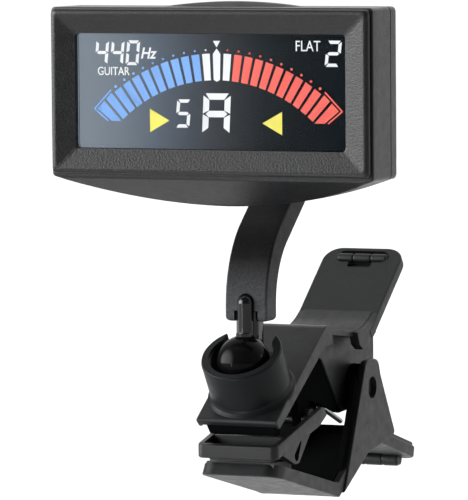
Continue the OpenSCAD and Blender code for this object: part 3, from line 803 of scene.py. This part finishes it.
# lit segments, lower left corner, width, height, stroke, slant and gap of each figure
for figure in (
        ("fgbc", -26.25, 5.3, 2.85, 5.05, 0.62, 0.1), ("fgbc", -22.77, 5.3, 2.85, 5.05, 0.62, 0.1),
        ("abcdef", -19.3, 5.3, 2.85, 5.05, 0.62, 0.1), ("abged", 24.55, 5.3, 3.2, 5.25, 0.65, 0.12),
        ("afgcd", -8.35, -7.3, 3.15, 5.75, 0.68, 0.1), ("abcefg", -2.35, -8.65, 6.0, 8.4, 1.3, 0.05, 0.1)):
    white += digit(*figure)
printed("meter_blue", blue, "blue")
printed("meter_red", red, "red")
printed("figures_white", white, "white")
printed("arrows_yellow", [[(-13.9, -3.55), (-9.6, -5.9), (-13.9, -8.3)],
                          [(15.25, -3.85), (10.95, -6.2), (15.25, -8.55)]], "yellow")
word("word_unit", "Hz", 3.15, -15.95, 6.7, 0.25, 0.92, 0.06)
word("word_mode", "GUITAR", 2.4, -25.6, 3.25, 0.0, 0.84, 0.01)
word("word_flat", "FLAT", 3.05, 18.15, 8.4, 0.0, 0.82)

# ---- arm and balls

BALL = joint_point("arm_turn")
arm_foot = box_mm("arm")[0].z
ARM_W, ARM_T, ARM_Y, ARM_TIP_Y = 9.35, 5.4, 1.5, 7.0
BEND_Z = arm_foot + 3.1
BEND_R, TURN, REACH, HOOK_R = 18.65, radians(52), 12.8, 10.35


def side_point(y, z):
    return Vector((0, y, z))


# the arm's middle line: a straight foot, a bend backwards, a straight reach and a hook forwards
path = [side_point(ARM_Y, arm_foot + d) for d in (0, 0.12, 0.4, 0.9, 2.0)]
for k in range(25):
    a = TURN * k / 24
    path.append(side_point(ARM_Y + BEND_R * (1 - cos(a)), BEND_Z + BEND_R * sin(a)))
ahead = side_point(sin(TURN), cos(TURN))
hook_centre = path[-1] + ahead * REACH + side_point(-cos(TURN), sin(TURN)) * HOOK_R
path += [path[-1] + ahead * (REACH * k / 4) for k in range(1, 4)]
for k in range(33):
    a = -TURN + (TURN + radians(90)) * k / 32
    path.append(hook_centre + side_point(cos(a), sin(a)) * HOOK_R)
path += [side_point(y, hook_centre.z + HOOK_R)
         for y in (10.5, 8.5, ARM_TIP_Y + 0.35, ARM_TIP_Y + 0.08, ARM_TIP_Y)]
insets = [0.75, 0.4, 0.12, 0.0] + [0.0] * (len(path) - 7) + [0.12, 0.4, 0.7]
arm = sweep(path, [
    rectangle(-ARM_W / 2 + d, ARM_W / 2 - d, -ARM_T / 2 + d, ARM_T / 2 - d, 0.5, 4) for d in insets])
RIB_R, RIB_TOP, TONGUE_W = 1.72, 34.3, 5.0
rib_y = ARM_Y - ARM_T / 2 + 0.05
tongue_y0, tongue_y1 = ARM_Y - ARM_T / 2, ARM_Y + ARM_T / 2 - 1.1


def rib_shape(r, low, high, y):
    """An upright pin with a domed top."""
    dome = arc(r, range(0, 90, 9), (0, high - r))
    return lathe([(0, low), (r, low)] + dome + [(0, high)], (0, y, 0), UP, 48)


arm = cut(arm, rib_shape(RIB_R + 0.14, 25, RIB_TOP + 0.3, rib_y),
          block(TONGUE_W + 0.24, tongue_y0 - 2, tongue_y1 + 0.12, 25, RIB_TOP - 3.3, edge=0),
          lathe_y(drum(1.78, 4, 11), 0, SOCKET.z, 40))
piece("curved_arm", arm, "arm", ARM, ["arm"])

tongue = prism(rectangle(-TONGUE_W / 2, TONGUE_W / 2, tongue_y0, tongue_y1, 1.1),
               BALL.z + 2.6, RIB_TOP - 3.4, "z", 0.15)
neck = lathe(drum(1.6, BALL.z - 3, BALL.z + 6), (0, BALL.y, 0), UP, 40)
CLEAR_R = 5.66
ball_space = lathe([(0, -CLEAR_R)] + arc(CLEAR_R, range(-84, 90, 6)) + [(0, CLEAR_R)], BALL, UP, 64)
stem = cut(union(tongue, rib_shape(RIB_R, BALL.z + 1, RIB_TOP, rib_y)), ball_space)
piece("ball_stem", union(stem, neck), "arm", STEM, ["lower_stem"])


def ball_piece(name, centre, r, hole_r, direction, node):
    """A turned ball with a hole for its stem and a small rounded lip where the hole opens."""
    lip = hole_r + 0.25
    top = sqrt(r * r - lip ** 2)
    skin = [p for p in arc(r, [4.5 * k - 90 for k in range(1, 40)]) if p.y < top]
    profile = [(0, -r)] + skin + [
        (lip, top), (hole_r + 0.05, top - 0.08), (hole_r, top - 0.3), (hole_r, -0.55 * r), (0, -0.55 * r)]
    piece(name, lathe(profile, centre, direction, 72), node, BLACK, [node])


ball_piece("cup_ball", BALL, 5.6, 1.65, UP, "lower_ball")
ball_piece("head_ball", SOCKET, 5.0, 1.55, DEPTH, "upper_ball")

# ---- clip: upper half

SLOPE = radians(33.1)
PLATE_L, PLATE_T, PLATE_W = 32.55, 1.8, 18.1
PIN_AT, SHOE_PIN = joint_point("jaw_hinge"), joint_point("shoe_swivel")
TIP = Vector((-6.95, 8.7))
U, N = Vector((cos(SLOPE), sin(SLOPE))), Vector((-sin(SLOPE), cos(SLOPE)))


def on_plate(a, b):
    """A side-view point at a along the upper jaw's sloping plate and b above it."""
    return TIP + U * a + N * b


def rod(r, x0, x1, y, z, edge=0.25, count=64):
    return prism(circle(r, (y, z), count), x0, x1, "x", edge)


plate = prism(fillet([on_plate(0, 0), on_plate(PLATE_L, 0), (23.0, 26.0), (22.5, 23.7), (21.0, 23.8),
                      on_plate(29.4, -PLATE_T), on_plate(0.5, -PLATE_T)],
                     [0.5, 3.2, 0.9, 0.7, 0.5, 0.9, 0.5], 6), -PLATE_W / 2, PLATE_W / 2, "x", 0.32, 3)
SADDLE, HANDLE_AT = Vector((36.0, 23.7)), Vector((45.3, 23.3))
rise = [Vector((40.5, 23.75)), Vector((43.5, 24.35)), Vector((46.4, 25.4)), Vector((49.0, 26.85))]
bridge = prism(fillet([(18.2, 24.6), (21.4, 25.9), SADDLE] + rise +
                      [(49.6, 25.6), (45.6, 22.4), (36.2, 22.5), (21, 24.4), (18.6, 23.4)],
                      [0, 0, 0.5] + [0] * 9), -7.95, 7.95, "x", 0.3, 3)
cheek_top = [p - Vector((0, drop)) for p, drop in zip(rise, (0.25, 0.25, 0.25, 0.3))]
cheeks = pair(fillet([SADDLE + Vector((1.6, -0.35))] + cheek_top + [(48.4, 22.4), (41.0, 19.3), (38.8, 20.6)],
                     [0, 0, 0, 0, 0, 0.3, 0.5, 0.5]), 7.0, 9.1)

HANDLE_W, HANDLE_T, RIM_H = 18.4, 2.5, 2.0


def handle(length, flip, bar_r, bar_lift, matrix):
    """A handle along +Y, dished on one face, with a trough and a three-part bar at its end on the other.

    The face with the bar is up, or down if flip is -1."""
    w = HANDLE_W / 2

    def layer(x, y0, y1, r, steps, a, b, edge=0.0, seg=2):
        """A slab of half width x between two heights, given for a handle whose bar is up."""
        low, high = sorted((flip * a, flip * b))
        return prism(rectangle(-x, x, y0, y1, r, steps), low, high, "z", edge, seg)

    body = layer(w, 0, length, [0, 0, 4.0, 4.0], 8, -HANDLE_T / 2, HANDLE_T / 2, 0.38, 3)
    rim = layer(w - 0.5, 1.0, length - 0.5, [0, 0, 3.5, 3.5], 8, -RIM_H, 0, 0.25)
    dish = layer(w - 1.7, 1.9, length - 1.8, 2.6, 6, -4, -0.25)
    trough = layer(5.9, length - 4.7, length - 1.1, 1.6, 6, 0.15, 3)
    pocket = layer(2.7, length - 6.3, length - 4.2, 0.4, 5, -0.12, 3)
    bars = [rod(bar_r, x0, x1, length - 3.0, flip * bar_lift, 0.3, 32)
            for x0, x1 in ((-5.6, -2.15), (-2.0, 2.0), (2.15, 5.6))]
    bars.append(rod(bar_r - 0.2, -5.9, 5.9, length - 3.0, flip * (bar_lift - 0.05), 0.0, 24))
    return moved(union(cut(union(body, rim), dish, trough, pocket), *bars), matrix)


upper_handle = handle(26.5, 1, 1.05, 0.75, Matrix.Translation((0, HANDLE_AT.x, HANDLE_AT.y - HANDLE_T / 2)) @
                      Matrix.Rotation(radians(37.5), 4, "X"))
PANEL_R = [0, 0, 0, 0, 0, 1.2, 1.2, 0.6, 0.8]
panels = pair(fillet([(17.9, 22.1), (19.7, 25.1), (34.5, 22.9), (44.8, 22.3), (57.0, 30.7), (57.0, 15.5),
                      (50.3, 6.2), (38.3, 6.2), (27.6, 18.2)], PANEL_R), 4.3, 5.0)
walls = pair(fillet([(18.4, 22.0), (20.0, 24.6), (34.5, 22.6), (44.9, 22.0), (56.6, 30.0), (56.6, 15.9),
                     (50.0, 6.4), (38.1, 5.9), (27.0, 18.0)], PANEL_R), 3.4, 4.6)
bosses = pair(circle(5.0, (PIN_AT.y, PIN_AT.z), 64), 3.6, 7.95, 0.35)
nose = prism(fillet([on_plate(1.0, -1.3), (-2.9, 5.5), (-1.3, 5.4), (1.6, 11.6)], [0, 0.5, 0.3, 0]),
             -7.6, 7.6, "x", 0.5)
shoe_hub = (SHOE_PIN.y, SHOE_PIN.z)
ribs = pair([(9.4, 16.9), (21.3, 25.0), (SHOE_PIN.y + 2.3, SHOE_PIN.z), (SHOE_PIN.y - 2.3, SHOE_PIN.z)],
            4.4, 6.2, 0.15) + pair(circle(2.3, shoe_hub, 40), 4.4, 6.2, 0.15)
rails = pair(fillet([
    on_plate(0.3, -0.4), on_plate(PLATE_L - 1.2, -0.4), (23.4, 25.3), (24.3, 22.2), (19.6, 21.9),
    on_plate(0.8, -2.35)], [0, 0, 0.7, 0.4, 0.5, 0.4]), 8.3, 9.04, 0.15)
webs = pair([(8.0, 16.6), (20.6, 23.9), (28.4, 17.8), (38.6, 6.6), (36.4, 6.2), (27.0, 9.3), (20.0, 10.6),
             (8.5, 9.6)], 3.7, 4.35, 0.1)

# the cup for the ball, open at the back for the stem
CUP_AT = Vector((1.7, 14.1))
CUP_R, CUP_IN, CUP_H, CUP_FLOOR, GAP = 8.5, 6.5, 10.0, 0.3, 5.5
on_cup = Matrix.Translation((0, CUP_AT.x, CUP_AT.y)) @ Matrix.Rotation(SLOPE, 4, "X")
cup = lathe(soft_profile([
    (0, -1.0), (CUP_R, -1.0), (8.55, 9.5), (8.35, CUP_H), (7.0, CUP_H), (6.8, 9.8), (6.55, 9.3),
    (CUP_IN, CUP_FLOOR), (0, CUP_FLOOR)], 0.12, 2), count=96)
foot_ring = lathe(soft_profile([
    (8.0, -0.5), (9.35, -0.5), (9.3, 0.3), (8.9, 0.52), (8.65, 0.9), (8.56, 1.5), (8.0, 1.5)],
    0.1, 2), count=96)
cup = cut(cup, prism(rectangle(-GAP, GAP, 0, 14), 4.0, 14, "z", 0))
soften(cup, [e for e in cup.edges if len(e.link_faces) == 2 and e.calc_face_angle(0) > radians(50)
             and all(abs(abs(v.co.x) - GAP) < 0.05 and v.co.y > 1 and v.co.z > 4.2 for v in e.verts)], 0.3, 3)
moved(cup, on_cup)
moved(foot_ring, on_cup)
ball_room = moved(lathe(drum(CUP_IN, CUP_FLOOR, 12), count=96), on_cup)
holes = rod(2.31, -10, 10, PIN_AT.y, PIN_AT.z, 0), rod(1.05, -10, 10, *shoe_hub, 0, 32)
jaw = union(plate, bridge, *cheeks, *panels, *rails, upper_handle)
jaw = cut(jaw, *(h.copy() for h in holes), ball_room.copy())
piece("upper_clip", jaw, "clip", CLIP, ["upper_jaw"])
piece("ball_cup", union(cup, foot_ring), "clip", CUP)
# the inner walls, bosses, nose, ribs and webs take the darker plastic as painted shade
hinge_frame = cut(union(*walls, *bosses, nose, *ribs, *webs), *holes, ball_room)
piece("hinge_frame", hinge_frame, "clip", INNER_PAINTED_SHADE)

pin = lathe(soft_profile([
    (0, -8.5), (1.5, -8.5), (1.6, -8.42), (2.26, -8.42), (2.26, 8.42), (1.6, 8.42), (1.5, 8.5), (0, 8.5)],
    0.12, 2), (0, PIN_AT.y, PIN_AT.z), ACROSS, 48)
piece("pivot_pin", pin, "clip", PIN, ["hinge_pin"])

# the spring's coil, in two halves, each with a leg to its own handle
COIL_R, WIRE, TURNS, LEAD = 4.3, 0.58, 4, 1.17
UPPER_END, LOWER_END = radians(140), radians(249 + 360 * TURNS)
COIL_X = LEAD * (LOWER_END - UPPER_END) / (4 * pi)


def coil_line(a0, a1):
    count = max(8, int((a1 - a0) / radians(9)))
    angles = [a0 + (a1 - a0) * k / count for k in range(count + 1)]
    return [Vector((COIL_X - LEAD * (a - UPPER_END) / (2 * pi), PIN_AT.y + COIL_R * cos(a),
                    PIN_AT.z + COIL_R * sin(a))) for a in angles]


def leg(start, a, away, lengths):
    """Points on the coil's tangent at angle a."""
    return [start + Vector((0, away * -sin(a), away * cos(a))) * d for d in lengths]


def wire(path):
    return sweep(path, [circle(WIRE, count=14)] * len(path))


upper_half = coil_line(UPPER_END, LOWER_END - radians(150))
lower_half = coil_line(LOWER_END - radians(152), LOWER_END)
upper_wire = wire(leg(upper_half[0], UPPER_END, -1, (9.4, 6, 3, 1)) + upper_half)
piece("jaw_spring", upper_wire, "clip", SPRING, ["torsion_spring"])
lower_wire = wire(lower_half + leg(lower_half[-1], LOWER_END, 1, (1, 3, 6, 9, 12, 13.5)))
piece("spring_leg", lower_wire, "lower_jaw", SPRING)

# ---- clip: shoe under the upper half

LIP = 0.3


def tray(half_w, front_y, rear_y, r, under, over, wall, floor_t, lean=0.0):
    """A shallow tray with round front corners; under and over give its underside and rim along Y."""

    def ring(inset, height, lift, back=0.0):
        front, w, rear, rr = front_y + inset + back, half_w - inset, rear_y - inset, max(r - inset, 0.4)
        right = [(0.0, front)] + arc(rr, range(-90, 1, 9), (w - rr, front + rr))
        right += [(w, front + rr + (rear - front - rr) * k / 24) for k in range(1, 25)]
        right.append((0.0, rear))
        left = [(-x, y) for x, y in reversed(right[1:-1])]
        return [Vector((x, y, height(y) + lift)) for x, y in right + left]

    outside = [ring(LIP * 1.6, under, 0.0), ring(LIP * 0.5, under, LIP * 0.3), ring(0, under, LIP)]
    inside = [
        (0, over, -LIP * 1.1), (LIP * 0.35, over, -LIP * 0.3), (LIP * 1.2, over, 0.0),
        (wall - 0.12, over, 0.0), (wall, over, -0.15), (wall, under, floor_t + 0.2),
        (wall + 0.25, under, floor_t)]
    return loft(outside + [ring(*row, lean) for row in inside], banded_end)


def line_through(points):
    """Height along Y on straight lines between points, the last of which goes on."""
    def height(y):
        for (y0, z0), (y1, z1) in zip(points, points[1:]):
            if y <= y1:
                break
        return z0 + (z1 - z0) * (y - y0) / (y1 - y0)
    return height


shoe_under = line_through([(-6.4, 0.8), (16.8, 5.5), (20.3, 7.2)])
shoe_over = line_through([(-6.3, 3.7), (18.7, 9.5), (20.3, 8.0)])
shoe = tray(9.0, -6.75, 20.3, 1.5, shoe_under, shoe_over, 1.3, 1.25)
lugs = pair(fillet([
    (-3.2, 1.6), (-2.8, 1.35), (3.2, -1.0), (5.4, -1.0), (12.2, 5.2)], [0, 0, 1.4, 1.4, 0], 6),
    7.7, 8.97, 0.2)
eyes = pair(circle(2.2, shoe_hub, 40), 6.35, 7.9, 0.15)
inner_wall = block(15.4, -0.5, 0.6, 3.0, 5.0, edge=0.15)
tear_hole = arc(1.15, range(-200, 1, 20), (4.1, 0.75)) + [(6.7, 3.5), (6.1, 3.6)]
shoe = cut(union(shoe, inner_wall, *lugs, *eyes), prism(tear_hole, -12, 12, "x", 0),
           *pair(circle(2.6, shoe_hub, 40), 4.2, 6.3, 0), rod(1.02, -8.2, 8.2, *shoe_hub, 0, 32))
piece("levelling_shoe", shoe, "grip_shoe", CLIP, ["grip_shoe"])


def pad(name, half_w, y0, gripping, backing, body, node):
    """A rubber pad with shallow grooves across its gripping face; both faces give heights along Y."""
    y1, grooves, groove_depth = 4.6, 6, 0.22
    pitch = (y1 - y0) / grooves
    outwards = copysign(groove_depth, gripping(0) - backing(0))
    face = [(y0 + pitch * (k + share), depth) for k in range(grooves)
            for share, depth in ((0.0, 0), (0.62, 0), (0.7, outwards), (0.92, outwards))] + [(y1, 0)]
    outline = [(y, gripping(y) - depth) for y, depth in face] + [(y1, backing(y1)), (y0, backing(y0))]
    piece(name, prism(outline, -half_w, half_w, "x", 0.0), body, PAD, [node])


pad("shoe_pad", 6.8, -4.9, lambda y: 0.3, shoe_under, "grip_shoe", "upper_pad")

# ---- clip: lower half

TOE, HEEL, CREST = Vector((-6.3, -2.4)), Vector((27.0, -10.6)), Vector((50.2, -1.4))
FLOOR_T = 1.5
floor_fall = (HEEL.y + FLOOR_T - TOE.y) / (HEEL.x - TOE.x)


def floor_top(y):
    return TOE.y + FLOOR_T + (y - TOE.x) * floor_fall


jaw_under = line_through([(-6.5, -2.55), HEEL])
jaw_over = line_through([(-6.1, 0.15), (25.5, -7.3), (27.0, -7.3)])
front_tray = tray(9.0, -6.45, 26.4, 3.5, jaw_under, jaw_over, 1.4, FLOOR_T, 1.3)
back_floor = prism(fillet([
    (20.0, -8.85), HEEL + Vector((0.1, -0.05)), (42.5, -2.4), CREST, CREST + Vector((0.6, 2.3)), (42.1, 0.3),
    (27.6, -7.7), (20.0, -7.0)], [0, 1.2, 1.2, 0.5, 0.4, 1.2, 1.6, 0], 6), -8.85, 8.85, "x", 0.3)
ears = pair(fillet([
    (29.0, -9.9), (31.6, -4.4), (40.2, 14.2), (41.6, 16.9), (48.5, 16.9), (49.9, 13.2), (58.3, -0.4),
    (50.5, -1.8), (42.7, -2.9)], [0, 2.2, 1.0, 3.6, 3.6, 1.5, 0.8, 0.6, 1.2], 8), 8.0, 9.5, 0.3)
bands = pair(fillet([
    (19.0, -8.4), HEEL + Vector((0.2, -0.12)), HEEL + Vector((7.0, 3.9)), (33.4, -4.6), (31.2, -5.0),
    (26.6, -7.6), (19.0, -5.9)], [0, 1.2, 0, 0, 0.8, 2.4, 0], 6), 7.55, 9.04)
lower_handle = handle(24.5, -1, 1.5, 1.85, Matrix.Translation((0, 49.4, 0.0)) @
                      Matrix.Rotation(radians(-15.5), 4, "X"))
lower = union(front_tray, back_floor, *ears, *bands, lower_handle)
lower = cut(lower, rod(2.36, -12, 12, PIN_AT.y, PIN_AT.z, 0))
piece("lower_clip", lower, "lower_jaw", CLIP, ["lower_jaw"])
# thin dark sheets over the lower jaw's floor and the ears' inner faces, with flanges by the ears, as painted shade
floor_shade_sheet = prism(fillet([
    (7.5, floor_top(7.5) - 0.2), (27.2, -7.65), (42.0, 0.35), (50.4, 1.0), (51.2, 1.0), (51.1, 1.75),
    (50.0, 1.5), (41.6, 0.9), (27.0, -7.2), (7.5, floor_top(7.5) + 0.25)], [0, 1.6, 1.2, 0, 0, 0, 0, 1.2, 1.8, 0]),
    -7.5, 7.5, "x", 0)
ear_shade_sheets = pair([
    (29.8, -8.6), (32.0, -4.4), (37.9, 8.6), (40.2, 5.0), (50.6, 5.0), (57.0, -0.4), (42.6, -1.8)],
    7.62, 8.15, 0)
flanges = pair(fillet([(29.4, -8.2), (31.8, -4.4), (39.4, 11.8), (38.9, 14.6), (38.0, 12.0), (30.6, -4.6)],
                      [0, 0, 0.2, 0.2, 0.4, 0.6]), 7.1, 8.3, 0.2)
piece("jaw_shade_sheet", union(floor_shade_sheet, *ear_shade_sheets, *flanges), "lower_jaw", INNER_PAINTED_SHADE)
pad("jaw_pad", 7.5, -4.8, lambda y: 0.0, lambda y: floor_top(y) - 0.4, "lower_jaw", "lower_pad")

# ---- carried-over inner pieces

KEPT = {
    "backlight": DIFFUSER, "connector_strip": STRIP, "circuit_board": BOARD, "processor_chip": CHIP,
    "tact_switches": SWITCH, "piezo_disc": BRASS, "coin_cell": CELL, "contact_minus": BRASS,
    "contact_plus": BRASS, "ball_retainer": SEAT, "retainer_screws": SCREW, "housing_screws": SCREW,
    "ball_seat": SEAT, "upper_stem": STEM, "shoe_pin": PIN,
}
for node, material in KEPT.items():
    finish_node(node, material)

# ---- floor, light and camera

FLOOR_HALF = 6
floor_mesh = bpy.data.meshes.new("floor")
corners = rectangle(-FLOOR_HALF, FLOOR_HALF, -FLOOR_HALF, FLOOR_HALF)
floor_mesh.from_pydata([(*p, 0) for p in corners], [], [(0, 1, 2, 3)])
look = Look("pale_floor")
pale = look.vary(look.noise(400.0), 0.70, 0.72)
floor_mesh.materials.append(look.done({"Base Color": pale, "Roughness": 0.9}))
floor = in_scene("floor", floor_mesh)
floor.location = (0, 0, cad_box[0][2] - 0.3)

# (direction, cosine at the edge, cosine at the middle, strength) of each soft light of the studio
SOFT_LIGHTS = [
    ((-0.85, -0.50, 0.12), 0.77, 1.0, 17.0),
    ((0.30, 0.95, 0.05), 0.10, 0.75, 0.90),
    ((-0.10, 0.35, 0.95), 0.35, 0.95, 1.00),
    ((0.95, 0.10, 0.25), 0.60, 0.98, 0.55),
]
AMBIENT = 0.12
world = bpy.data.worlds.new("studio")
scene.world = world
sky = Nodes(world)
direction = sky.add("TexCoord").outputs["Generated"]
total = AMBIENT
for toward, edge, middle, strength in SOFT_LIGHTS:
    dot = sky.add("VectorMath", {0: direction, 1: Vector(toward).normalized()}, operation="DOT_PRODUCT")
    fall = sky.add("MapRange", {"From Min": edge, "From Max": middle, "To Max": strength,
                                "Value": dot.outputs["Value"]}, interpolation_type="SMOOTHSTEP")
    total = sky.add("Math", {0: fall.outputs["Result"], 1: total}).outputs["Value"]
sky.put(sky.tree.nodes["Background"], {"Strength": total, "Color": (1.0, 1.0, 1.0, 1)})

LAMP_AIM = Vector((0, 0, 0.02))


def lamp(name, place, size, power):
    """A small soft lamp for the highlights on polished parts."""
    data = bpy.data.lights.new(name, "AREA")
    data.shape = "RECTANGLE"
    data.size, data.size_y = size
    data.energy = power
    ob = in_scene(name, data)
    ob.location = place
    ob.rotation_euler = (LAMP_AIM - Vector(place)).to_track_quat("-Z", "Y").to_euler()


lamp("low_front", (-0.084, -0.35, -0.24), (0.05, 0.03), 0.6)
lamp("right_window", (0.80, 0.35, 0.25), (0.16, 0.26), 0.6)
lamp("left_strip", (-0.36, -0.60, -0.06), (0.03, 0.14), 0.35)

AZIMUTH, ELEVATION, ROLL, DISTANCE = radians(23.5), radians(4.4), radians(-0.463), 1.0
CAMERA_AIM = Vector((0, -0.007, 0.044))
camera_data = bpy.data.cameras.new("camera")
camera_data.lens, camera_data.sensor_width, camera_data.clip_start = 351.8, 36.0, 0.05
camera = in_scene("camera", camera_data)
back = Vector((sin(AZIMUTH) * cos(ELEVATION), -cos(AZIMUTH) * cos(ELEVATION),
               sin(ELEVATION)))
right = Vector((cos(AZIMUTH), sin(AZIMUTH), 0))
up = back.cross(right)
right, up = right * cos(ROLL) + up * sin(ROLL), up * cos(ROLL) - right * sin(ROLL)
camera.matrix_world = (Matrix.Translation(CAMERA_AIM + back * DISTANCE) @
                       Matrix((right, up, back)).transposed().to_4x4())
scene.camera = camera
scene.view_settings.view_transform = "Standard"
